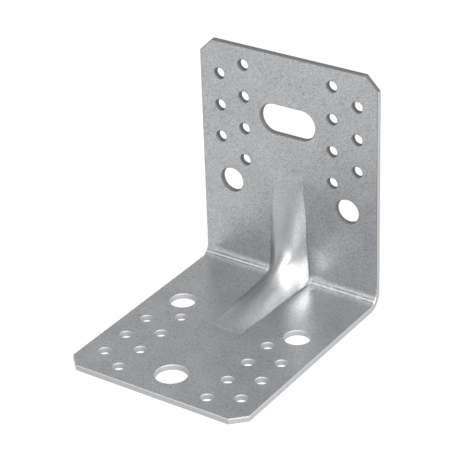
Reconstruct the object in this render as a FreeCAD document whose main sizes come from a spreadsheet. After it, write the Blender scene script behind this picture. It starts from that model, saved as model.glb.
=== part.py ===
"""Angle connector: one folded galvanised sheet with a pressed rib across its inner corner.

Frame: X runs across the width, the base leg lies on Z = 0 and runs towards -Y, the upright
leg's back face is the highest Y. The origin is the middle of the base leg's underside.
All sizes are millimetres.
"""
import FreeCAD, Part
import math
import os

import Sketcher

NODE = "angle_connector"

# Driving dimensions: name, value, what it measures
SIZES = [
    ("width", 90.0, "across both legs"),
    ("leg_up", 111.0, "upright leg, from the underside to its free end"),
    ("leg_out", 111.0, "base leg, from the back face to its free end"),
    ("gauge", 2.5, "sheet thickness"),
    ("bend_inner", 5.0, "inner radius of the fold"),
    ("corner_cut", 6.3, "each corner cut, along both edges"),
    ("punch_roll", 0.35, "rounding of the punched edges on the inner faces"),
    ("nail_dia", 5.0, "nail holes"),
    ("nail_pitch", 15.35, "rows of nail holes"),
    ("inner_columns", 45.0, "between the two inner columns of nail holes"),
    ("outer_columns", 70.0, "between the two outer columns of nail holes"),
    ("inner_rows", 4, "nail holes in an inner column"),
    ("outer_rows", 3, "nail holes in an outer column"),
    ("end_to_inner", 8.7, "leg's free end to the first inner nail hole"),
    ("end_to_outer", 15.4, "leg's free end to the first outer nail hole"),
    ("anchor_dia", 11.4, "anchor holes"),
    ("anchor_columns", 60.0, "between the two anchor holes"),
    ("end_to_anchor", 66.7, "leg's free end to the anchor holes"),
    ("slot_long", 28.0, "upright leg's slot, across the width"),
    ("slot_high", 14.0, "upright leg's slot, along the leg"),
    ("end_to_slot", 30.75, "upright leg's free end to the slot's centre"),
    ("bolt_dia", 14.0, "base leg's bolt hole"),
    ("end_to_bolt", 15.4, "base leg's free end to the bolt hole"),
    ("rib_reach", 54.5, "underside or back face to the rib's tips"),
    ("rib_tip_rise", 0.25, "height of the crest at the rib's tips"),
    ("rib_slope", 6.0, "degrees between the rib's crest and a leg at its tips"),
    ("rib_crest", 21.0, "radius of the crest where it turns the corner"),
    ("rib_half_tip", 8.2, "half the rib's width at its tips"),
    ("rib_half_bend", 10.3, "half the rib's width at the fold"),
    ("rib_flank", 1.8, "slope of the rib's flanks at the foot, as a multiple of rise over half width"),
]

# How near two lengths have to be to count as the same
NEAR = 1e-4
# A pocket that takes less volume than this has cut nothing
LEAST_CUT = 1.0
# A tip's last section lies this far under the sheet's face, this far past the rib's reach
TIP_SINK = 0.1
TIP_RUN = 1.2
# Section planes along each straight stretch of the rib, and round its turn
TIP_SECTIONS = 2
TURN_DEGREES = (0, 18, 34, 45, 56, 72, 90)
# Share of the half width where a section's flank gives way to its crest
SHOULDER = 0.6
# How the rib's width grows from its tips to the fold, as a power of the way there
WIDENING = 1.5
# Share of the half width by which a section reaches past its foot, into the sheet
ROOT = 0.04

doc = FreeCAD.newDocument("AngleConnector")


def add_sheet():
    """The spreadsheet of driving dimensions, one aliased cell for each."""
    table = doc.addObject("Spreadsheet::Sheet", "Sizes")
    for row, (alias, value, note) in enumerate(SIZES, start=1):
        table.set(f"A{row}", note)
        table.set(f"B{row}", str(value))
        table.setAlias(f"B{row}", alias)
    doc.recompute()
    return table


sizes = add_sheet()


def size(alias):
    """A driving dimension as a float."""
    return float(getattr(sizes, alias))


def origin_plane(body, role):
    """One of a body's own origin planes, by its role."""
    return next(item for item in body.Origin.OriginFeatures if item.Role == role)


def add_sketch(body, name, role):
    """An empty sketch on one of the body's origin planes."""
    sketch = body.newObject("Sketcher::SketchObject", name)
    sketch.AttachmentSupport = [(origin_plane(body, role), "")]
    sketch.MapMode = "FlatFace"
    return sketch


def bind(sketch, name, constraint, formula):
    """Add a named constraint and tie it to the spreadsheet."""
    index = sketch.addConstraint(constraint)
    sketch.renameConstraint(index, name)
    sketch.setExpression(f"Constraints.{name}", formula)


def point(first, second):
    """A point in a sketch's plane."""
    return FreeCAD.Vector(first, second, 0)


def draw_profile(sketch):
    """The folded sheet seen along X: sketch axes are Y and Z."""
    back = size("leg_out") / 2
    up = size("leg_up")
    gauge = size("gauge")
    inner = size("bend_inner")
    outer = inner + gauge
    front = back - size("leg_out")
    centre = point(back - outer, outer)
    normal = FreeCAD.Vector(0, 0, 1)
    quarter = -math.pi / 2
    shapes = [
        Part.LineSegment(point(front, 0), point(back - outer, 0)),
        Part.ArcOfCircle(Part.Circle(centre, normal, outer), quarter, 0),
        Part.LineSegment(point(back, outer), point(back, up)),
        Part.LineSegment(point(back, up), point(back - gauge, up)),
        Part.LineSegment(point(back - gauge, up), point(back - gauge, outer)),
        Part.ArcOfCircle(Part.Circle(centre, normal, inner), quarter, 0),
        Part.LineSegment(point(back - outer, gauge), point(front, gauge)),
        Part.LineSegment(point(front, gauge), point(front, 0)),
    ]
    under, heel, rear, top, face, fold, floor, nose = [sketch.addGeometry(s, False) for s in shapes]
    make = Sketcher.Constraint
    for constraint in (
        make("Tangent", under, 2, heel, 1),
        make("Tangent", heel, 2, rear, 1),
        make("Coincident", rear, 2, top, 1),
        make("Coincident", top, 2, face, 1),
        make("Tangent", face, 2, fold, 2),
        make("Tangent", fold, 1, floor, 1),
        make("Coincident", floor, 2, nose, 1),
        make("Coincident", nose, 2, under, 1),
        make("Coincident", fold, 3, heel, 3),
        make("Horizontal", under),
        make("Vertical", rear),
        make("Horizontal", top),
        make("Vertical", face),
        make("Horizontal", floor),
        make("Vertical", nose),
        make("PointOnObject", under, 1, -1),
    ):
        sketch.addConstraint(constraint)
    bind(sketch, "fold_radius", make("Radius", fold, inner), "Sizes.bend_inner")
    bind(sketch, "gauge", make("DistanceX", top, 2, top, 1, gauge), "Sizes.gauge")
    bind(sketch, "leg_up", make("DistanceY", -1, 1, rear, 2, up), "Sizes.leg_up")
    bind(sketch, "back", make("DistanceX", -1, 1, rear, 2, back), "Sizes.leg_out / 2")
    bind(sketch, "front", make("DistanceX", under, 1, -1, 1, -front), "Sizes.leg_out / 2")


def add_sheet_metal(body):
    """The folded sheet, full width and still without holes."""
    profile = add_sketch(body, "Profile", "YZ_Plane")
    draw_profile(profile)
    pad = body.newObject("PartDesign::Pad", "FoldedSheet")
    pad.Profile = profile
    pad.SideType = "Symmetric"
    pad.setExpression("Length", "Sizes.width")
    doc.recompute()
    return pad


def edge_names(shape, wanted):
    """Names of the edges whose middle point and ends pass a test."""
    names = []
    for number, edge in enumerate(shape.Edges, start=1):
        first, last = edge.ParameterRange
        points = [edge.valueAt(first + share * (last - first)) for share in (0.0, 0.5, 1.0)]
        if wanted(points):
            names.append(f"Edge{number}")
    return names


def add_corner_cuts(body, base):
    """The four corners of the free ends, cut at 45 degrees."""
    side = size("width") / 2
    front = -size("leg_out") / 2
    up = size("leg_up")

    def is_corner(points):
        on_side = all(abs(abs(p.x) - side) < NEAR for p in points)
        at_top = all(abs(p.z - up) < NEAR for p in points)
        at_front = all(abs(p.y - front) < NEAR for p in points)
        return on_side and (at_top or at_front)

    cut = body.newObject("PartDesign::Chamfer", "CornerCuts")
    cut.Base = (base, edge_names(base.Shape, is_corner))
    cut.setExpression("Size", "Sizes.corner_cut")
    doc.recompute()
    return cut


class Leg:
    """One leg as the punch sees it: the sketch plane and the way from its free end to the fold."""

    def __init__(self, name, role, end_formula, end_sign, reverse):
        self.name = name
        self.role = role
        self.end_formula = end_formula
        self.end_sign = end_sign
        self.reverse = reverse

    def place(self, distance_alias):
        """Formula of a row's distance from the sketch's X axis, and its value."""
        formula = f"{self.end_formula} - Sizes.{distance_alias}"
        end = size("leg_up") if self.end_sign > 0 else size("leg_out") / 2
        return formula, end - size(distance_alias)

    def row_constraint(self, hole, row):
        """The distance of a hole's centre from the sketch's X axis, towards the free end."""
        ends = (-1, 1, hole, 3) if self.end_sign > 0 else (hole, 3, -1, 1)
        return Sketcher.Constraint("DistanceY", *ends, row)


UPRIGHT = Leg("Upright", "XZ_Plane", "Sizes.leg_up", 1, False)
BASE = Leg("Base", "XY_Plane", "Sizes.leg_out / 2", -1, True)


def add_pair(sketch, leg, columns, distance, diameter):
    """Two equal holes either side of the middle line."""
    formula, row = leg.place(distance)
    half = size(columns) / 2
    radius = size(diameter) / 2
    normal = FreeCAD.Vector(0, 0, 1)
    make = Sketcher.Constraint
    for name, sign in (("left", -1), ("right", 1)):
        centre = point(sign * half, leg.end_sign * row)
        hole = sketch.addGeometry(Part.Circle(centre, normal, radius), False)
        bind(sketch, f"{name}_diameter", make("Diameter", hole, 2 * radius), f"Sizes.{diameter}")
        across = (-1, 1, hole, 3) if sign > 0 else (hole, 3, -1, 1)
        bind(sketch, f"{name}_across", make("DistanceX", *across, half), f"Sizes.{columns} / 2")
        bind(sketch, f"{name}_along", leg.row_constraint(hole, row), formula)


def add_middle_hole(sketch, leg, distance, diameter):
    """One hole on the middle line."""
    formula, row = leg.place(distance)
    radius = size(diameter) / 2
    make = Sketcher.Constraint
    centre = point(0, leg.end_sign * row)
    hole = sketch.addGeometry(Part.Circle(centre, FreeCAD.Vector(0, 0, 1), radius), False)
    sketch.addConstraint(make("PointOnObject", hole, 3, -2))
    bind(sketch, "diameter", make("Diameter", hole, 2 * radius), f"Sizes.{diameter}")
    bind(sketch, "along", leg.row_constraint(hole, row), formula)


def add_slot(sketch, leg, distance):
    """The slot across the middle line, with round ends."""
    formula, row = leg.place(distance)
    radius = size("slot_high") / 2
    half = size("slot_long") / 2 - radius
    normal = FreeCAD.Vector(0, 0, 1)
    quarter = math.pi / 2
    make = Sketcher.Constraint
    right = Part.ArcOfCircle(Part.Circle(point(half, row), normal, radius), -quarter, quarter)
    left = Part.ArcOfCircle(Part.Circle(point(-half, row), normal, radius), quarter, 3 * quarter)
    top = Part.LineSegment(point(half, row + radius), point(-half, row + radius))
    bottom = Part.LineSegment(point(-half, row - radius), point(half, row - radius))
    right, top, left, bottom = [sketch.addGeometry(s, False) for s in (right, top, left, bottom)]
    for constraint in (
        make("Tangent", right, 2, top, 1),
        make("Tangent", top, 2, left, 1),
        make("Tangent", left, 2, bottom, 1),
        make("Tangent", bottom, 2, right, 1),
        make("Horizontal", top),
        make("Symmetric", left, 3, right, 3, -2),
    ):
        sketch.addConstraint(constraint)
    bind(sketch, "end_radius", make("Radius", right, radius), "Sizes.slot_high / 2")
    reach = "(Sizes.slot_long - Sizes.slot_high) / 2"
    bind(sketch, "half", make("DistanceX", -1, 1, right, 3, half), reach)
    bind(sketch, "along", make("DistanceY", -1, 1, right, 3, row), formula)


def punch(body, leg, sketch):
    """Cut a sketch through one leg only, and check that it took metal away."""
    before = body.Shape.Volume
    pocket = body.newObject("PartDesign::Pocket", sketch.Name + "Cut")
    pocket.Profile = sketch
    pocket.Type = "ThroughAll"
    pocket.Reversed = leg.reverse
    body.Tip = pocket
    doc.recompute()
    if pocket.Shape.Volume > before - LEAST_CUT:
        raise RuntimeError(f"{pocket.Name} cut nothing")
    return pocket


def repeat_rows(body, leg, pocket, sketch, rows):
    """Repeat a punched pair towards the fold, one nail pitch apart."""
    pattern = body.newObject("PartDesign::LinearPattern", sketch.Name + "Rows")
    pattern.Originals = [pocket]
    pattern.Direction = (sketch, ["V_Axis"])
    pattern.Reversed = leg.end_sign > 0
    pattern.setExpression("Occurrences", f"Sizes.{rows}")
    pattern.setExpression("Length", f"Sizes.nail_pitch * (Sizes.{rows} - 1)")
    body.Tip = pattern
    doc.recompute()
    return pattern


def add_nail_holes(body, leg):
    """Both sets of nail-hole columns of one leg."""
    for label, columns, distance, rows in (
        ("InnerNails", "inner_columns", "end_to_inner", "inner_rows"),
        ("OuterNails", "outer_columns", "end_to_outer", "outer_rows"),
    ):
        sketch = add_sketch(body, leg.name + label, leg.role)
        add_pair(sketch, leg, columns, distance, "nail_dia")
        pocket = punch(body, leg, sketch)
        repeat_rows(body, leg, pocket, sketch, rows)


def add_large_holes(body):
    """Anchor holes in both legs, the upright's slot and the base's bolt hole."""
    for leg in (UPRIGHT, BASE):
        sketch = add_sketch(body, leg.name + "Anchors", leg.role)
        add_pair(sketch, leg, "anchor_columns", "end_to_anchor", "anchor_dia")
        punch(body, leg, sketch)
    sketch = add_sketch(body, "UprightSlot", UPRIGHT.role)
    add_slot(sketch, UPRIGHT, "end_to_slot")
    punch(body, UPRIGHT, sketch)
    sketch = add_sketch(body, "BaseBolt", BASE.role)
    add_middle_hole(sketch, BASE, "end_to_bolt", "bolt_dia")
    punch(body, BASE, sketch)


def add_punch_roll(body):
    """Round the punched edges on the side that the punch entered: the inner faces."""
    back = size("leg_out") / 2
    face = back - size("gauge")
    floor = size("gauge")
    fold = size("gauge") + size("bend_inner")
    side = size("width") / 2
    base = body.Tip

    def on_inner_skin(points):
        upright = all(abs(p.y - face) < NEAR and p.z > fold - NEAR for p in points)
        flat = all(abs(p.z - floor) < NEAR and p.y < back - fold + NEAR for p in points)
        bent = all(
            abs(math.hypot(p.y - (back - fold), p.z - fold) - size("bend_inner")) < NEAR
            and p.y > back - fold - NEAR
            and p.z < fold + NEAR
            for p in points
        )
        crosses = abs(points[0].x + points[2].x) < NEAR and abs(points[0].x) > side - NEAR
        return upright or flat or bent and not crosses

    roll = body.newObject("PartDesign::Chamfer", "PunchRoll")
    roll.Base = (base, edge_names(base.Shape, on_inner_skin))
    roll.setExpression("Size", "Sizes.punch_roll")
    body.Tip = roll
    doc.recompute()
    return roll


class Station:
    """One section plane across the rib: where it starts, and which way it looks at the sheet."""

    def __init__(self, start, angle):
        self.start = start
        self.angle = angle

    def at(self, across, distance):
        """The point at a distance along the section's own direction, across X by the given amount."""
        heel = size("leg_out") / 2
        y = self.start[0] + distance * math.cos(self.angle)
        z = self.start[1] - distance * math.sin(self.angle)
        return FreeCAD.Vector(across, heel + y, z)


class Rib:
    """The rib's crest, flanks and hollow, from the spreadsheet's sizes."""

    def __init__(self):
        self.gauge = size("gauge")
        self.slope = math.radians(size("rib_slope"))
        self.crest = size("rib_crest")
        self.reach = size("rib_reach")
        turn = self.crest / math.cos(self.slope)
        straight = self.gauge + size("rib_tip_rise") + turn + self.reach * math.tan(self.slope)
        # The crest's turn is centred at this distance from both outer faces
        self.pivot = straight / (1 + math.tan(self.slope))

    def stations(self):
        """Section planes from the upright's tip round the corner to the base's tip."""
        pivot = self.pivot
        run = self.reach - pivot
        steps = [-TIP_RUN / run] + [index / TIP_SECTIONS for index in range(TIP_SECTIONS)]
        upright = [Station((-pivot, self.reach - run * share), 0.0) for share in steps]
        turn = [Station((-pivot, pivot), math.radians(angle)) for angle in TURN_DEGREES]
        flat = [Station((-self.reach + run * share, pivot), math.pi / 2) for share in reversed(steps)]
        return upright + turn + flat

    def skin(self, station, depth):
        """Distance to the sheet's skin: depth 0 is the inner skin, the gauge is the outer one."""
        cosine = math.cos(station.angle)
        sine = math.sin(station.angle)
        plane = self.pivot - self.gauge + depth
        reach = min(plane / value for value in (cosine, sine) if value > NEAR)
        centre = self.gauge + size("bend_inner")
        y = station.start[0] + reach * cosine
        z = station.start[1] - reach * sine
        if y < -centre or z > centre:
            return reach
        offset_y = station.start[0] + centre
        offset_z = station.start[1] - centre
        middle = offset_y * cosine - offset_z * sine
        rest = offset_y ** 2 + offset_z ** 2 - (size("bend_inner") + depth) ** 2
        return -middle + math.sqrt(middle ** 2 - rest)

    def crest_distance(self, station, depth):
        """Distance to the crest, or to the hollow's roof one gauge behind it."""
        if station.start[1] > self.pivot or station.start[0] < -self.pivot:
            beyond = max(station.start[1], -station.start[0]) - self.pivot
            lean = self.slope
            distance = self.crest / math.cos(self.slope) + beyond * math.tan(self.slope)
        else:
            nearest = min(max(station.angle, self.slope), math.pi / 2 - self.slope)
            lean = abs(station.angle - nearest)
            distance = self.crest / math.cos(lean)
        return distance + depth / math.cos(lean)

    def half_width(self, station):
        """Half the rib's width on the inner skin, widest at the fold."""
        tip = size("rib_half_tip")
        bend = size("rib_half_bend")
        if station.angle == 0.0:
            along = self.reach - station.start[1]
        elif station.angle == math.pi / 2:
            along = self.reach + station.start[0]
        else:
            turned = min(station.angle, math.pi / 2 - station.angle) / (math.pi / 4)
            along = self.reach - self.pivot + turned * (self.pivot - self.gauge)
        whole = self.reach - self.gauge
        return tip + (bend - tip) * (max(along, 0.0) / whole) ** WIDENING

    def poles(self, station, depth):
        """Poles of the arch across one section, from left to right."""
        rise = self.skin(station, depth) - self.crest_distance(station, depth)
        half = self.half_width(station)
        flank = size("rib_flank")
        lean = math.atan(flank * max(rise, 0.0) / half)
        half -= depth * math.tan(lean / 2)
        shoulder = flank * (1 - SHOULDER)
        # The arch's height over its middle is the rise when the middle pole has this share of it
        middle = (8 - 4 * shoulder) / 3
        steepness = flank * rise / half
        root = half * ROOT + (TIP_SINK / steepness if rise > 0 else 0.0)
        drop = steepness * root
        arch = ((-half - root, -drop), (-half * SHOULDER, rise * shoulder), (0, rise * middle),
                (half * SHOULDER, rise * shoulder), (half + root, -drop))
        past_tip = max(station.start[1], -station.start[0]) > self.reach
        skin = self.skin(station, depth)
        poles = []
        for across, height in arch:
            lift = -TIP_SINK if past_tip else height
            poles.append(station.at(across, skin - lift))
        return poles

    def section(self, station, depth, backing):
        """A closed section of the metal in front of a skin, down to a backing distance."""
        poles = self.poles(station, depth)
        curve = Part.BezierCurve()
        curve.setPoles(poles)
        base = self.skin(station, depth) + backing
        left = station.at(poles[0].x, base)
        right = station.at(poles[-1].x, base)
        edges = [
            curve.toShape(),
            Part.makeLine(poles[-1], right),
            Part.makeLine(right, left),
            Part.makeLine(left, poles[0]),
        ]
        return Part.Wire(edges)

    def solid(self, depth, backing):
        """A loft through all sections."""
        wires = [self.section(station, depth, backing) for station in self.stations()]
        return Part.makeLoft(wires, True, False)


def add_rib(sheet_body):
    """Press the rib: add its skin on the inner side, take its hollow from the outer side."""
    rib = Rib()
    skin = doc.addObject("Part::Feature", "RibSkin")
    skin.Shape = rib.solid(0.0, size("gauge") / 2)
    hollow = doc.addObject("Part::Feature", "RibHollow")
    hollow.Shape = rib.solid(size("gauge"), size("gauge"))
    joined = doc.addObject("Part::Fuse", "SheetWithRib")
    joined.Base = sheet_body
    joined.Tool = skin
    pressed = doc.addObject("Part::Cut", "AngleConnector")
    pressed.Base = joined
    pressed.Tool = hollow
    pressed.Label = NODE
    doc.recompute()
    return pressed


def check_document():
    """Stop on any failed object or bad shape."""
    for item in doc.Objects:
        for bad in ("Invalid", "Error"):
            if bad in item.State:
                raise RuntimeError(f"{item.Name} is {bad}")
    for item in doc.Objects:
        shape = getattr(item, "Shape", None)
        if item.isDerivedFrom("PartDesign::Feature") or item.isDerivedFrom("Part::Boolean"):
            if shape.isNull() or not shape.isValid():
                raise RuntimeError(f"{item.Name} has a bad shape")


def build():
    """Build the part and write it."""
    body = doc.addObject("PartDesign::Body", "Sheet")
    pad = add_sheet_metal(body)
    add_corner_cuts(body, pad)
    for leg in (UPRIGHT, BASE):
        add_nail_holes(body, leg)
    add_large_holes(body)
    add_punch_roll(body)
    part = add_rib(body)
    check_document()
    shape = part.Shape
    if len(shape.Solids) != 1:
        raise RuntimeError(f"{NODE} has {len(shape.Solids)} solids")
    os.makedirs("parts", exist_ok=True)
    shape.exportStep(f"parts/{NODE}.step")
    print(f"{NODE}: volume {shape.Volume:.1f} mm3, {len(shape.Faces)} faces")


build()
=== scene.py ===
"""Angle connector for timber: one folded sheet of galvanised steel, dressed over its CAD frame.

The sheet, its fold, its pressed rib and every hole come from the frame. This script gives them
the surface of hot-dip galvanised strip, and adds a white studio with soft lamps and the camera.
All lengths are metres unless a name says otherwise.
"""

from __future__ import annotations

import logging
import math
from collections.abc import Iterable
from dataclasses import dataclass, field
from enum import Enum

import bpy
from mathutils import Matrix, Vector

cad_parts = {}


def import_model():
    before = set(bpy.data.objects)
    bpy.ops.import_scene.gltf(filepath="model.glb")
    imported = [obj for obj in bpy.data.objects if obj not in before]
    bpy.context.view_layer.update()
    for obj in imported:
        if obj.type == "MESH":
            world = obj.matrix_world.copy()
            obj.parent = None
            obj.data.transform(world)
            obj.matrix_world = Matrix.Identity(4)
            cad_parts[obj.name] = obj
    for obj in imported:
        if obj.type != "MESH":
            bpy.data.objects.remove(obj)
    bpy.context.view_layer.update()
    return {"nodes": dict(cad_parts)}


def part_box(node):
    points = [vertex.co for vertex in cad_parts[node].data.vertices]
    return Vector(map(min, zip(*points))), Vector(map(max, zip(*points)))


LOG = logging.getLogger("angle_connector")
MM = 0.001

# The sRGB curve: straight up to the knee, a power curve above it
SRGB_KNEE = 0.04045
SRGB_SLOPE = 12.92
SRGB_OFFSET = 0.055
SRGB_POWER = 2.4

# The Mix node's sockets, by number because they share their names
MIX_FACTOR = 0
MIX_NUMBER_FROM = 2
MIX_NUMBER_TO = 3
MIX_COLOUR_FROM = 6
MIX_COLOUR_TO = 7
MIX_COLOUR_OUT = 2

Tree = bpy.types.NodeTree
Socket = bpy.types.NodeSocket


class Metal(Enum):
    """The metals that show, as sRGB hex colours."""

    ZINC = "#c5c6c7"
    ZINC_SHADE = "#909193"
    ZINC_SPECK = "#737476"
    BARE_STEEL = "#b0b1b3"
    # bare steel of the upright's cut walls, painted darker as shade
    UPRIGHT_WALL_SHADE = "#757678"
    # grey of the press blade's lines, and also painted shade in the creases at the rib's feet
    PRESS_MARK_AND_CREASE_SHADE = "#5f6063"


class Paper(Enum):
    """The studio's paper and lamp colours, as sRGB hex colours."""

    SWEEP = "#f4f4f4"
    WHITE = "#ffffff"


class Limit(Enum):
    """The side of a limit on which a test holds, by the Math node's names."""

    ABOVE = "GREATER_THAN"
    BELOW = "LESS_THAN"


def linear(colour: Enum) -> tuple[float, float, float, float]:
    """Turn an sRGB hex colour into Blender's linear colour.

    Args:
        colour: a member whose value is a hex string such as "#b9babb".

    Returns:
        Red, green, blue and an alpha of 1.
    """
    text = colour.value.lstrip("#")
    channels = []
    for start in (0, 2, 4):
        share = int(text[start:start + 2], 16) / 255
        if share <= SRGB_KNEE:
            channels.append(share / SRGB_SLOPE)
        else:
            channels.append(((share + SRGB_OFFSET) / (1 + SRGB_OFFSET)) ** SRGB_POWER)
    return (*channels, 1.0)


def direction(azimuth: float, elevation: float) -> Vector:
    """Find the direction from the part to a lamp or camera.

    Args:
        azimuth: degrees round from the front of the base leg, with 90 at the part's right.
        elevation: degrees up from the floor.

    Returns:
        The direction, of length 1.
    """
    turn = math.radians(azimuth)
    rise = math.radians(elevation)
    return Vector((
        math.sin(turn) * math.cos(rise),
        -math.cos(turn) * math.cos(rise),
        math.sin(rise),
    ))


def add_node(
    tree: Tree,
    kind: str,
    settings: dict[str | int, object] | None = None,
    links: dict[str | int, Socket] | None = None,
) -> bpy.types.Node:
    """Add one node with its settings and links.

    Args:
        tree: the material's or world's node tree.
        kind: Blender's name for the node's type.
        settings: properties of the node by name, or values of its sockets by name or number.
        links: the socket that feeds each input, by the input's name or number.

    Returns:
        The new node.
    """
    node = tree.nodes.new(kind)
    for key, value in (settings or {}).items():
        if isinstance(key, str) and hasattr(node, key):
            setattr(node, key, value)
        else:
            node.inputs[key].default_value = value
    for key, source in (links or {}).items():
        tree.links.new(source, node.inputs[key])
    return node


@dataclass(frozen=True)
class Speckle:
    """An irregular pattern: the size of its spots, and how much finer detail lies in them."""

    size_mm: float
    detail: float = 2.0
    coarseness: float = 0.5

    def settings(self) -> dict[str, float]:
        """This pattern as a noise texture's settings."""
        scale = 1 / (self.size_mm * MM)
        return {"Scale": scale, "Detail": self.detail, "Roughness": self.coarseness}


@dataclass(frozen=True)
class Ramp:
    """A value that goes from first to last while another goes from start to end."""

    start: float
    end: float
    first: float
    last: float

    def settings(self) -> dict[str, float]:
        """This ramp as a map range's settings."""
        source = {"From Min": self.start, "From Max": self.end}
        return source | {"To Min": self.first, "To Max": self.last}


@dataclass(frozen=True)
class SheetMap:
    """The folded sheet's own coordinates, as sockets in one material.

    They lie still on the metal, so what they place stays where it is in every view.
    """

    tree: Tree
    place: Socket
    across: Socket
    along: Socket
    up: Socket
    half_width: float
    back: float

    @classmethod
    def lay(cls, tree: Tree, half_width: float, back: float) -> SheetMap:
        """Read the coordinates into a material.

        Args:
            tree: the material's node tree.
            half_width: half the sheet's width across both legs.
            back: how far back the upright's back face stands.

        Returns:
            The map, whose across is the distance from the sheet's middle plane.
        """
        place = add_node(tree, "ShaderNodeTexCoord").outputs["Object"]
        axes = add_node(tree, "ShaderNodeSeparateXYZ", {}, {0: place}).outputs
        across = add_node(
            tree, "ShaderNodeMath", {"operation": "ABSOLUTE"}, {0: axes["X"]}
        ).outputs[0]
        return cls(tree, place, across, axes["Y"], axes["Z"], half_width, back)

    def mask(
        self, tests: Iterable[tuple[Socket, Limit, float]], within: Socket | None = None
    ) -> Socket:
        """Mark where every test holds.

        Args:
            tests: for each, the value, the side of the limit on which it holds, and the limit.
            within: a mask that the result is kept to.

        Returns:
            A mask of 1 where all tests hold, times the one it is kept to, and of 0 elsewhere.
        """
        mask = within
        for value, side, limit in tests:
            held = add_node(
                self.tree, "ShaderNodeMath", {"operation": side.value, 1: limit}, {0: value}
            ).outputs[0]
            mask = held if mask is None else add_node(
                self.tree, "ShaderNodeMath", {"operation": "MULTIPLY"}, {0: mask, 1: held}
            ).outputs[0]
        return mask


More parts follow.
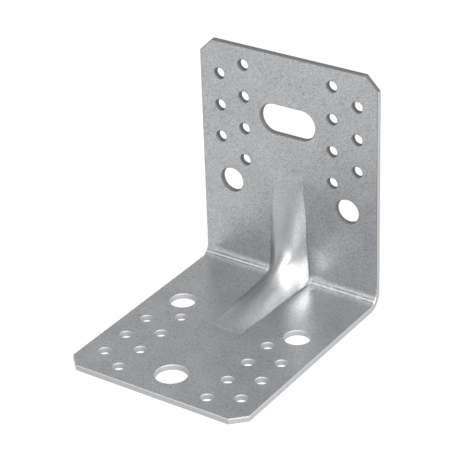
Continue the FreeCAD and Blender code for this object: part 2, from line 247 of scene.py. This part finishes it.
@dataclass(frozen=True)
class GalvanisedSheet:
    """Hot-dip galvanised steel strip, rolled lightly after dipping: its zinc has no large flowers.

    The eye sees a mid grey metal with a satin gloss: it mirrors what stands beside it as soft
    patches, and a fine mottle of light and dark grains lies over all of it. The die has wiped the
    mottle off the rib, and the cut walls are bare steel without gloss. Painted shade darkens the
    creases at the rib's feet and the upright's cut walls.
    """

    name: str = "galvanised_sheet"
    roughness: float = 0.33
    grain_roughness: float = 0.10
    cloud_roughness: float = 0.08
    cut_roughness: float = 0.40

    # The zinc's grains are finer than this, and are drawn as coarse as they need to show
    grain: Speckle = Speckle(0.8, detail=3.0, coarseness=0.62)
    grain_height_mm: float = 0.040
    cloud: Speckle = Speckle(14.0, coarseness=0.55)

    # How light the mottle is: this much of the grain with a shift and of the cloud, all scaled
    mottle_grain: float = 3.4
    mottle_shift: float = -1.2
    mottle_cloud: float = 0.8
    mottle_scale: float = 0.55

    # Marks of the rolls, 0.67 mm high and drawn out across the width to 2.4 mm
    streak: Speckle = Speckle(0.672)
    streak_squash: float = 0.28
    streak_ramp: Ramp = Ramp(0.60, 0.78, 0.0, 0.8)

    # The folded sheet and its rib, as the CAD frame has them, and how near a face counts as on it
    gauge_mm: float = 2.5
    fold_mm: float = 7.5
    fold_inner_mm: float = 5.0
    rib_half_mm: float = 12.0
    rib_reach_mm: float = 56.0
    margin_mm: float = 0.1

    # The press blade's two lines, by their angle round the fold in radians
    press_lines: tuple[float, float] = (0.65, 0.93)
    press_line_mm: float = 0.60
    press_depth_mm: float = 0.6
    press_gap: Speckle = Speckle(6.0)
    press_gap_ramp: Ramp = Ramp(0.35, 0.6, 0.45, 1.0)

    # The die wipes the zinc more the further it lifts the rib, to a nearly even level
    wipe_fade_mm: float = 2.4
    wipe_share: float = 0.6
    wipe_level: float = 0.56

    # The rib's feet, found by how far the face turns within a short distance; the dark line drawn
    # there is painted shade
    crease_mm: float = 1.7
    crease_shade_ramp: Ramp = Ramp(0.996, 0.970, 0.0, 0.62)

    # Cut edges and walls: a wall is where the face has turned this far from the leg's own
    edge_round_mm: float = 0.22
    edge_samples: int = 8
    cut_facing: float = 0.85
    cut_above_fold_mm: float = 2.0
    side_margin_mm: float = 0.05

    def material(self, half_width: float, back: float) -> bpy.types.Material:
        """Build the sheet's material.

        Args:
            half_width: half the sheet's width across both legs.
            back: how far back the upright's back face stands.

        Returns:
            The material, in Blender's own nodes.
        """
        made = bpy.data.materials.new(self.name)
        made.use_nodes = True
        tree = made.node_tree
        tree.nodes.clear()
        at = SheetMap.lay(tree, half_width, back)
        grain, cloud = (
            add_node(
                tree, "ShaderNodeTexNoise", pattern.settings(), {"Vector": at.place}
            ).outputs["Fac"]
            for pattern in (self.grain, self.cloud)
        )
        pressed, rib = self._rib_zones(at)
        wiped = self._wiped(at, rib)
        cut = self._sheared(at, pressed)
        colour = self._zinc(at, grain, cloud, wiped)
        for metal, mask in (
            (Metal.ZINC_SPECK, self._streaks(at, wiped)),
            # the press blade's lines in the fold, and painted shade in the rib's creases
            (Metal.PRESS_MARK_AND_CREASE_SHADE, self._press_marks_and_crease_shade(at, rib)),
            (Metal.BARE_STEEL, cut),
            # the upright's cut walls, darkened as painted shade
            (Metal.UPRIGHT_WALL_SHADE, self._shaded_upright_walls(at, cut)),
        ):
            colour = add_node(
                tree, "ShaderNodeMix",
                {"data_type": "RGBA", MIX_COLOUR_TO: linear(metal)},
                {MIX_FACTOR: mask, MIX_COLOUR_FROM: colour},
            ).outputs[MIX_COLOUR_OUT]
        shader = add_node(
            tree, "ShaderNodeBsdfPrincipled",
            {"Metallic": 1.0},
            {
                "Base Color": colour,
                "Roughness": self._roughness(at, grain, cloud, cut),
                "Normal": self._relief(at, grain),
            },
        ).outputs["BSDF"]
        add_node(tree, "ShaderNodeOutputMaterial", {}, {"Surface": shader})
        return made

    def _rib_zones(self, at: SheetMap) -> tuple[Socket, Socket]:
        """Mark where the sheet was pressed.

        Args:
            at: the sheet's coordinates.

        Returns:
            A mask of the pressed part with its hollow, and one of its inner faces alone.
        """
        face = (self.gauge_mm - self.margin_mm) * MM
        far = self.rib_reach_mm * MM
        pressed = at.mask([
            (at.across, Limit.BELOW, self.rib_half_mm * MM),
            (at.up, Limit.BELOW, far),
            (at.along, Limit.ABOVE, at.back - far),
        ])
        rib = at.mask(
            [(at.up, Limit.ABOVE, face), (at.along, Limit.BELOW, at.back - face)], within=pressed
        )
        return pressed, rib

    def _wiped(self, at: SheetMap, rib: Socket) -> Socket:
        """Find how far the die has wiped the zinc, which grows with the rib's lift off both legs.

        Args:
            at: the sheet's coordinates.
            rib: the mask of the rib's inner faces.

        Returns:
            A factor from 0 to 1.
        """
        fade = self.wipe_fade_mm * MM
        gauge = self.gauge_mm * MM
        wiped = rib
        for value, slope, offset in (
            (at.up, 1 / fade, -gauge / fade),
            (at.along, -1 / fade, (at.back - gauge) / fade),
        ):
            lift = add_node(
                at.tree, "ShaderNodeMath",
                {"operation": "MULTIPLY_ADD", 1: slope, 2: offset, "use_clamp": True},
                {0: value},
            ).outputs[0]
            wiped = add_node(
                at.tree, "ShaderNodeMath", {"operation": "MULTIPLY"}, {0: wiped, 1: lift}
            ).outputs[0]
        return wiped

    def _streaks(self, at: SheetMap, wiped: Socket) -> Socket:
        """Draw the short dark marks left by the rolls, but not where the die wiped the zinc.

        Args:
            at: the sheet's coordinates.
            wiped: how far the zinc is wiped.

        Returns:
            A factor from 0 to 1.
        """
        squashed = add_node(
            at.tree, "ShaderNodeMapping",
            {"Scale": (self.streak_squash, 1.0, 1.0)},
            {"Vector": at.place},
        ).outputs["Vector"]
        spots = add_node(
            at.tree, "ShaderNodeTexNoise", self.streak.settings(), {"Vector": squashed}
        ).outputs["Fac"]
        marks = add_node(
            at.tree, "ShaderNodeMapRange", self.streak_ramp.settings(), {"Value": spots}
        ).outputs["Result"]
        return add_node(
            at.tree, "ShaderNodeMath",
            {"operation": "SUBTRACT", "use_clamp": True},
            {0: marks, 1: wiped},
        ).outputs[0]

    def _press_marks_and_crease_shade(self, at: SheetMap, rib: Socket) -> Socket:
        """Draw the press blade's lines in the fold, and painted shade in the creases at the rib's
        feet.

        Args:
            at: the sheet's coordinates.
            rib: the mask of the rib's inner faces.

        Returns:
            A factor from 0 to 1.
        """
        return add_node(
            at.tree, "ShaderNodeMath", {"operation": "MAXIMUM"},
            {0: self._press_lines(at), 1: self._crease_shade(at, rib)},
        ).outputs[0]

    def _press_lines(self, at: SheetMap) -> Socket:
        """Draw the two thin, broken lines that the press blade leaves along the inside of the fold.

        Args:
            at: the sheet's coordinates.

        Returns:
            A factor from 0 to 1, which is 0 on the rib.
        """
        centre = self.fold_mm * MM
        down = add_node(
            at.tree, "ShaderNodeMath", {"operation": "SUBTRACT", 0: centre}, {1: at.up}
        ).outputs[0]
        inward = add_node(
            at.tree, "ShaderNodeMath",
            {"operation": "SUBTRACT", 1: at.back - centre},
            {0: at.along},
        ).outputs[0]
        distance = add_node(
            at.tree, "ShaderNodeMath", {"operation": "ARCTAN2"}, {0: down, 1: inward}
        ).outputs[0]
        first, second = self.press_lines
        # Mirrored about their middle, both lines lie at one angle from it
        for shift in ((first + second) / 2, (second - first) / 2):
            shifted = add_node(
                at.tree, "ShaderNodeMath", {"operation": "SUBTRACT", 1: shift}, {0: distance}
            ).outputs[0]
            distance = add_node(
                at.tree, "ShaderNodeMath", {"operation": "ABSOLUTE"}, {0: shifted}
            ).outputs[0]
        fade = Ramp(0.0, self.press_line_mm / self.fold_inner_mm, 1.0, 0.0)
        line = add_node(
            at.tree, "ShaderNodeMapRange", fade.settings(), {"Value": distance}
        ).outputs["Result"]
        arm = add_node(at.tree, "ShaderNodeCombineXYZ", {}, {0: down, 1: inward}).outputs[0]
        radius = add_node(
            at.tree, "ShaderNodeVectorMath", {"operation": "LENGTH"}, {0: arm}
        ).outputs["Value"]
        inner = (self.fold_inner_mm + self.press_depth_mm) * MM
        line = at.mask(
            [(at.across, Limit.ABOVE, self.rib_half_mm * MM), (radius, Limit.BELOW, inner)],
            within=line,
        )
        gaps = add_node(
            at.tree, "ShaderNodeTexNoise", self.press_gap.settings(), {"Vector": at.place}
        ).outputs["Fac"]
        kept = add_node(
            at.tree, "ShaderNodeMapRange", self.press_gap_ramp.settings(), {"Value": gaps}
        ).outputs["Result"]
        return add_node(
            at.tree, "ShaderNodeMath", {"operation": "MULTIPLY"}, {0: line, 1: kept}
        ).outputs[0]

    def _crease_shade(self, at: SheetMap, rib: Socket) -> Socket:
        """Draw painted shade: a dark line where the pressed rib leaves the flat sheet.

        Args:
            at: the sheet's coordinates.
            rib: the mask of the rib's inner faces.

        Returns:
            A factor from 0 to 1.
        """
        # Painted shade: darkens where the face bends within a short distance, at the rib's feet
        averaged = add_node(
            at.tree, "ShaderNodeBevel",
            {"samples": self.edge_samples, "Radius": self.crease_mm * MM},
        ).outputs["Normal"]
        flat = add_node(at.tree, "ShaderNodeNewGeometry").outputs["True Normal"]
        alike = add_node(
            at.tree, "ShaderNodeVectorMath", {"operation": "DOT_PRODUCT"}, {0: averaged, 1: flat}
        ).outputs["Value"]
        bent = add_node(
            at.tree, "ShaderNodeMapRange", self.crease_shade_ramp.settings(), {"Value": alike}
        ).outputs["Result"]
        return add_node(
            at.tree, "ShaderNodeMath", {"operation": "MULTIPLY"}, {0: rib, 1: bent}
        ).outputs[0]

    def _sheared(self, at: SheetMap, pressed: Socket) -> Socket:
        """Mark where the sheet was sheared or punched through.

        A wall of the cut lies inside the sheet's thickness and stands square to its faces. The
        hollow behind the rib does so too, but it is pressed and not cut.

        Args:
            at: the sheet's coordinates.
            pressed: the mask of the pressed part with its hollow.

        Returns:
            A mask of 0 or 1.
        """
        normal = add_node(at.tree, "ShaderNodeNewGeometry").outputs["True Normal"]
        turned = add_node(
            at.tree, "ShaderNodeVectorMath", {"operation": "ABSOLUTE"}, {0: normal}
        ).outputs["Vector"]
        facing = add_node(at.tree, "ShaderNodeSeparateXYZ", {}, {0: turned}).outputs
        skin = (self.gauge_mm + self.margin_mm) * MM
        cut = at.mask([
            (at.up, Limit.BELOW, skin),
            (facing["Z"], Limit.BELOW, self.cut_facing),
        ])
        upright = at.mask([
            (at.along, Limit.ABOVE, at.back - skin),
            (facing["Y"], Limit.BELOW, self.cut_facing),
            (at.up, Limit.ABOVE, (self.fold_mm + self.cut_above_fold_mm) * MM),
        ])
        sides = at.mask([
            (at.across, Limit.ABOVE, at.half_width - self.side_margin_mm * MM)
        ])
        for operation, mask in (("MAXIMUM", upright), ("SUBTRACT", pressed), ("MAXIMUM", sides)):
            cut = add_node(
                at.tree, "ShaderNodeMath",
                {"operation": operation, "use_clamp": True},
                {0: cut, 1: mask},
            ).outputs[0]
        return cut

    def _shaded_upright_walls(self, at: SheetMap, cut: Socket) -> Socket:
        """Mark the upright's cut walls, all of them but its two long sides, which take a darker
        steel as painted shade.

        Args:
            at: the sheet's coordinates.
            cut: the mask of all cut walls.

        Returns:
            A mask of 0 or 1.
        """
        # Painted shade: these walls take a darker steel than the base's cut walls
        return at.mask(
            [
                (at.across, Limit.BELOW, at.half_width - self.margin_mm * MM),
                (at.up, Limit.ABOVE, self.fold_mm * MM),
            ],
            within=cut,
        )

    def _zinc(self, at: SheetMap, grain: Socket, cloud: Socket, wiped: Socket) -> Socket:
        """Colour the zinc by its grains and clouds.

        Args:
            at: the sheet's coordinates.
            grain: the fine mottle.
            cloud: the wide, slow change of shade.
            wiped: how far the zinc is wiped to an even level.

        Returns:
            The zinc's colour.
        """
        fine = add_node(
            at.tree, "ShaderNodeMath",
            {"operation": "MULTIPLY_ADD", 1: self.mottle_grain, 2: self.mottle_shift},
            {0: grain},
        ).outputs[0]
        whole = add_node(
            at.tree, "ShaderNodeMath",
            {"operation": "MULTIPLY_ADD", 1: self.mottle_cloud},
            {0: cloud, 2: fine},
        ).outputs[0]
        mottle = add_node(
            at.tree, "ShaderNodeMath",
            {"operation": "MULTIPLY", 1: self.mottle_scale, "use_clamp": True},
            {0: whole},
        ).outputs[0]
        share = add_node(
            at.tree, "ShaderNodeMath", {"operation": "MULTIPLY", 1: self.wipe_share}, {0: wiped}
        ).outputs[0]
        light = add_node(
            at.tree, "ShaderNodeMix",
            {"data_type": "FLOAT", MIX_NUMBER_TO: self.wipe_level},
            {MIX_FACTOR: share, MIX_NUMBER_FROM: mottle},
        ).outputs[0]
        return add_node(
            at.tree, "ShaderNodeMix",
            {
                "data_type": "RGBA",
                MIX_COLOUR_FROM: linear(Metal.ZINC_SHADE),
                MIX_COLOUR_TO: linear(Metal.ZINC),
            },
            {MIX_FACTOR: light},
        ).outputs[MIX_COLOUR_OUT]

    def _roughness(self, at: SheetMap, grain: Socket, cloud: Socket, cut: Socket) -> Socket:
        """Make the satin zinc a little uneven, and the cut walls rougher.

        Args:
            at: the sheet's coordinates.
            grain: the fine mottle.
            cloud: the wide, slow change of shade.
            cut: the mask of all cut walls.

        Returns:
            The roughness, whose mean on the zinc is the finish's own.
        """
        # Grain and cloud lie about 0.5, so half of what they add is taken off
        lowest = self.roughness - (self.grain_roughness + self.cloud_roughness) / 2
        rough = add_node(
            at.tree, "ShaderNodeMath",
            {"operation": "MULTIPLY_ADD", 1: self.grain_roughness, 2: lowest},
            {0: grain},
        ).outputs[0]
        for value, share in ((cloud, self.cloud_roughness), (cut, self.cut_roughness)):
            rough = add_node(
                at.tree, "ShaderNodeMath",
                {"operation": "MULTIPLY_ADD", 1: share, "use_clamp": True},
                {0: value, 2: rough},
            ).outputs[0]
        return rough

    def _relief(self, at: SheetMap, grain: Socket) -> Socket:
        """Round the sharp edges a little, and raise the zinc's grains.

        Args:
            at: the sheet's coordinates.
            grain: the fine mottle.

        Returns:
            The surface's normal.
        """
        rounded = add_node(
            at.tree, "ShaderNodeBevel",
            {"samples": self.edge_samples, "Radius": self.edge_round_mm * MM},
        ).outputs["Normal"]
        return add_node(
            at.tree, "ShaderNodeBump",
            {"Strength": 1.0, "Distance": self.grain_height_mm * MM},
            {"Height": grain, "Normal": rounded},
        ).outputs["Normal"]


@dataclass
class AngleConnector:
    """The folded sheet: it keeps its CAD shape and takes the galvanised finish."""

    node: str = "angle_connector"
    finish: GalvanisedSheet = field(default_factory=GalvanisedSheet)

    def dress(self, nodes: dict[str, bpy.types.Object]) -> bpy.types.Object:
        """Give the CAD sheet its finish.

        Args:
            nodes: the frame's CAD nodes by name.

        Returns:
            The dressed sheet.
        """
        sheet = nodes[self.node]
        low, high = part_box(self.node)
        made = self.finish.material((high.x - low.x) / 2, high.y)
        sheet.data.materials.clear()
        sheet.data.materials.append(made)
        return sheet


@dataclass(frozen=True)
class SoftBox:
    """One lamp behind diffusing cloth, a metre from the part and turned towards it.

    Azimuth 0 is in front of the base leg, and 90 at the part's right.
    """

    name: str
    azimuth: float
    elevation: float
    width: float
    height: float
    watts: float
    away: float = 1.0
    raised: float = 0.03
    aim: tuple[float, float, float] = (0.0, 0.0, 0.04)

    def hang(self) -> bpy.types.Object:
        """Make the lamp, turned towards its aim.

        Returns:
            The lamp.
        """
        light = bpy.data.lights.new(self.name, "AREA")
        light.shape = "RECTANGLE"
        light.size = self.width
        light.size_y = self.height
        light.energy = self.watts
        light.color = linear(Paper.WHITE)[:3]
        lamp = bpy.data.objects.new(self.name, light)
        place = self.away * direction(self.azimuth, self.elevation)
        place.z += self.raised
        lamp.location = place
        lamp.rotation_mode = "QUATERNION"
        lamp.rotation_quaternion = (Vector(self.aim) - place).to_track_quat("-Z", "Y")
        bpy.context.scene.collection.objects.link(lamp)
        return lamp


@dataclass(frozen=True)
class MattPaper:
    """White uncoated paper, rolled smooth.

    The eye sees an even white without gloss, with the part's soft shadow on it. The camera, and
    the metal as a mirror, see this share of it as plain white; the rest keeps the shadow.
    """

    name: str = "matt_white_paper"
    roughness: float = 0.9
    sheen: float = 0.1
    white_share: float = 0.88

    def material(self) -> bpy.types.Material:
        """Build the paper's material.

        Returns:
            The material, in Blender's own nodes.
        """
        made = bpy.data.materials.new(self.name)
        made.use_nodes = True
        tree = made.node_tree
        tree.nodes.clear()
        matt = add_node(
            tree, "ShaderNodeBsdfPrincipled",
            {
                "Base Color": linear(Paper.SWEEP),
                "Roughness": self.roughness,
                "Specular IOR Level": self.sheen,
            },
        ).outputs["BSDF"]
        white = add_node(
            tree, "ShaderNodeEmission", {"Color": linear(Paper.WHITE), "Strength": 1.0}
        ).outputs["Emission"]
        ray = add_node(tree, "ShaderNodeLightPath").outputs
        seen = ray["Is Camera Ray"]
        for other in ("Is Transmission Ray", "Is Glossy Ray"):
            seen = add_node(
                tree, "ShaderNodeMath", {"operation": "MAXIMUM"}, {0: seen, 1: ray[other]}
            ).outputs[0]
        share = add_node(
            tree, "ShaderNodeMath", {"operation": "MULTIPLY", 1: self.white_share}, {0: seen}
        ).outputs[0]
        shown = add_node(
            tree, "ShaderNodeMixShader", {}, {0: share, 1: matt, 2: white}
        ).outputs[0]
        add_node(tree, "ShaderNodeOutputMaterial", {}, {"Surface": shown})
        return made


@dataclass
class Studio:
    """A white paper table under soft lamps."""

    floor_side: float = 6.0
    floor_drop_mm: float = 0.02
    sky: float = 0.73
    paper: MattPaper = field(default_factory=MattPaper)
    lamps: tuple[SoftBox, ...] = (
        SoftBox("lamp_right", 72, 24, 0.40, 0.75, 6.5),
        SoftBox("lamp_right_low", 85, 8, 0.40, 0.25, 1.2),
        SoftBox("lamp_right_high", 72, 50, 0.45, 0.45, 6.5),
        SoftBox("lamp_right_front", 40, 58, 0.90, 0.70, 1.0),
        SoftBox("lamp_front_low", 14, 22, 0.50, 0.30, 2.9),
        SoftBox("lamp_front", 5, 45, 0.70, 0.50, 2.2),
        SoftBox("lamp_left_low", 340, 16, 0.40, 0.22, 0.4),
        SoftBox("lamp_left", 324, 52, 0.70, 0.60, 1.3),
        SoftBox("lamp_above", 0, 80, 0.80, 0.80, 1.0),
    )

    def build(self) -> None:
        """Make the floor, the world and the lamps."""
        self._floor()
        self._world()
        for lamp in self.lamps:
            lamp.hang()
            LOG.info("%s: %.1f W", lamp.name, lamp.watts)

    def _floor(self) -> None:
        """Lay a sheet of white paper under the part."""
        half = self.floor_side / 2
        mesh = bpy.data.meshes.new("paper_table")
        corners = [(-half, -half, 0), (half, -half, 0), (half, half, 0), (-half, half, 0)]
        mesh.from_pydata([Vector(corner) for corner in corners], [], [(0, 1, 2, 3)])
        floor = bpy.data.objects.new("paper_table", mesh)
        floor.location.z = -self.floor_drop_mm * MM
        bpy.context.scene.collection.objects.link(floor)
        mesh.materials.append(self.paper.material())

    def _world(self) -> None:
        """Give a plain soft light from all round."""
        world = bpy.data.worlds.new("studio")
        bpy.context.scene.world = world
        world.use_nodes = True
        tree = world.node_tree
        tree.nodes.clear()
        light = add_node(
            tree, "ShaderNodeBackground", {"Color": linear(Paper.WHITE), "Strength": self.sky}
        ).outputs["Background"]
        add_node(tree, "ShaderNodeOutputWorld", {}, {"Surface": light})


@dataclass(frozen=True)
class ProductCamera:
    """A long lens above the part's right front corner."""

    azimuth: float = 34.886
    elevation: float = 28.911
    roll: float = -2.083
    lens_mm: float = 155.842
    sensor_mm: float = 36.0
    distance: float = 0.82729
    slide_right: float = -0.001657
    slide_up: float = 0.006144
    target: tuple[float, float, float] = (0.0, 0.0055, 0.045)
    nearest: float = 0.05
    farthest: float = 20.0

    def build(self) -> bpy.types.Object:
        """Make the camera and look through it.

        Returns:
            The camera.
        """
        azimuth = math.radians(self.azimuth)
        roll = math.radians(self.roll)
        back = direction(self.azimuth, self.elevation)
        level = Vector((math.cos(azimuth), math.sin(azimuth), 0.0))
        upright = back.cross(level)
        right = level * math.cos(roll) + upright * math.sin(roll)
        up = upright * math.cos(roll) - level * math.sin(roll)
        place = Vector(self.target) + back * self.distance
        place += right * self.slide_right + up * self.slide_up
        lens = bpy.data.cameras.new("product_camera")
        lens.sensor_width = self.sensor_mm
        lens.lens = self.lens_mm
        lens.clip_start = self.nearest
        lens.clip_end = self.farthest
        camera = bpy.data.objects.new("product_camera", lens)
        turned = Matrix((right, up, back)).transposed().to_4x4()
        camera.matrix_world = Matrix.Translation(place) @ turned
        bpy.context.scene.collection.objects.link(camera)
        bpy.context.scene.camera = camera
        return camera


def main() -> None:
    """Load the frame, dress the part, and set it in its studio."""
    logging.basicConfig(level=logging.INFO, format="%(name)s: %(message)s")
    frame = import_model()
    ProductCamera().build()
    sheet = AngleConnector().dress(frame["nodes"])
    LOG.info("%s: %d faces", sheet.name, len(sheet.data.polygons))
    Studio().build()
    bpy.context.scene.view_settings.view_transform = "Standard"


if __name__ == "__main__":
    main()
